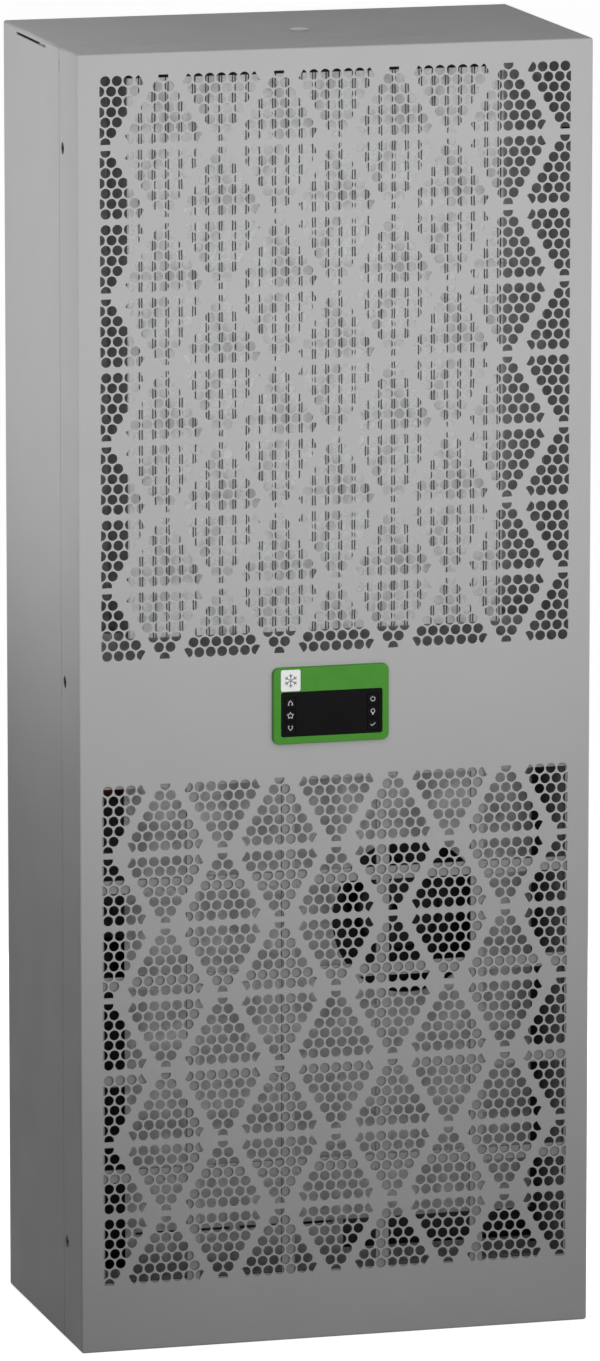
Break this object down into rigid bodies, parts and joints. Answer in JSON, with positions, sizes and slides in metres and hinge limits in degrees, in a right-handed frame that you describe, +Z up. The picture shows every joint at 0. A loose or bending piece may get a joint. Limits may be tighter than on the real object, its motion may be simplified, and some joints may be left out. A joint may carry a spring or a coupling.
{
  "type": "enclosure_cooling_unit",
  "caption": "Slim wall-mounted enclosure cooling unit: sheet steel cabinet, perforated front cover, small key panel, radial and axial fans, condenser, evaporator and compressor",
  "frame": {"origin": "on the floor, in the middle of the cabinet", "axes": "+Z up, -Y the perforated ambient front, +Y the back that meets the enclosure, +X to the right seen from the front"},
  "size_m": [0.404, 0.2315, 1.0013],
  "materials": {
    "painted_sheet": "light grey textured powder coat",
    "black_screw": "blackened steel",
    "zinc_sheet": "galvanised sheet steel",
    "zinc_steel": "zinc plated steel",
    "seal_foam": "closed-cell foam strip",
    "filter_frame": "light grey moulded grid",
    "fins": "thin aluminium fins",
    "black_plastic": "black moulded plastic",
    "black_rubber": "black rubber",
    "copper": "drawn copper tube",
    "tray_plastic": "pale moulded plastic",
    "black_paint": "black satin paint",
    "grey_plastic": "dark grey moulded plastic",
    "capacitor_can": "drawn aluminium can",
    "light_plastic": "light grey moulded plastic",
    "green_plastic": "green moulded bezel",
    "window": "smoked black window",
    "board": "green circuit board",
    "key_rubber": "black key cap"
  },
  "bodies": {
    "cabinet": {"front_cover": "painted_sheet", "cover_sides": "painted_sheet", "cover_screws": "black_screw", "cover_lips": "painted_sheet", "left_panel": "painted_sheet", "right_panel": "painted_sheet", "top_panel": "painted_sheet", "bottom_panel": "painted_sheet", "back_panel": "zinc_sheet", "rear_seal": "seal_foam", "rear_inserts": "zinc_steel", "lifting_insert": "zinc_steel", "lifting_plug": "painted_sheet", "filter_grid": "filter_frame", "grid_clips": "zinc_sheet", "inner_plate": "zinc_sheet", "inlet_ring": "black_plastic", "condenser_core": "fins", "condenser_ends": "zinc_sheet", "condenser_fan_motor": "zinc_steel", "fan_posts": "zinc_steel", "motor_carrier": "zinc_sheet", "partition_wall": "zinc_sheet", "chamber_floor": "zinc_sheet", "evaporator_core": "fins", "evaporator_hood": "zinc_sheet", "evaporator_bends": "copper", "condensate_tray": "tray_plastic", "drain_pipe": "tray_plastic", "evaporator_fan_motor": "zinc_steel", "evaporator_fan_frame": "black_plastic", "fan_screws": "zinc_steel", "finger_guard": "zinc_steel", "compressor_shell": "black_paint", "compressor_plate": "black_paint", "compressor_grommets": "black_rubber", "compressor_bolts": "zinc_steel", "terminal_cap": "black_plastic", "accumulator": "black_paint", "discharge_pipe": "copper", "suction_pipe": "copper", "liquid_pipe": "copper", "capillary_tube": "copper", "electrics_box": "grey_plastic", "electrics_lid": "grey_plastic", "run_capacitor": "capacitor_can", "terminal_block": "light_plastic", "cable_grommet": "black_rubber", "controller_bezel": "green_plastic", "display_window": "window", "controller_case": "black_plastic", "controller_board": "board"},
    "condenser_fan_wheel_body": {"condenser_fan_wheel": "black_plastic"},
    "evaporator_fan_rotor_body": {"evaporator_fan_rotor": "black_plastic"},
    "key_up_body": {"key_up": "key_rubber"},
    "key_mode_body": {"key_mode": "key_rubber"},
    "key_down_body": {"key_down": "key_rubber"},
    "key_power_body": {"key_power": "key_rubber"},
    "key_lamp_body": {"key_lamp": "key_rubber"},
    "key_set_body": {"key_set": "key_rubber"}
  },
  "joints": [
    {"name": "condenser_fan_spin", "type": "hinge", "parent": "cabinet", "child": "condenser_fan_wheel_body", "pos_m": [0.083, 0.036, 0.309], "axis": [0, 1, 0], "continuous": true},
    {"name": "evaporator_fan_spin", "type": "hinge", "parent": "cabinet", "child": "evaporator_fan_rotor_body", "pos_m": [0, 0.086, 0.862], "axis": [0, 1, 0], "continuous": true},
    {"name": "key_up_press", "type": "slide", "parent": "cabinet", "child": "key_up_body", "axis": [0, 1, 0], "range_m": [0, 0.0005], "stiffness_N_per_m": 800},
    {"name": "key_mode_press", "type": "slide", "parent": "cabinet", "child": "key_mode_body", "axis": [0, 1, 0], "range_m": [0, 0.0005], "stiffness_N_per_m": 800},
    {"name": "key_down_press", "type": "slide", "parent": "cabinet", "child": "key_down_body", "axis": [0, 1, 0], "range_m": [0, 0.0005], "stiffness_N_per_m": 800},
    {"name": "key_power_press", "type": "slide", "parent": "cabinet", "child": "key_power_body", "axis": [0, 1, 0], "range_m": [0, 0.0005], "stiffness_N_per_m": 800},
    {"name": "key_lamp_press", "type": "slide", "parent": "cabinet", "child": "key_lamp_body", "axis": [0, 1, 0], "range_m": [0, 0.0005], "stiffness_N_per_m": 800},
    {"name": "key_set_press", "type": "slide", "parent": "cabinet", "child": "key_set_body", "axis": [0, 1, 0], "range_m": [0, 0.0005], "stiffness_N_per_m": 800}
  ]
}
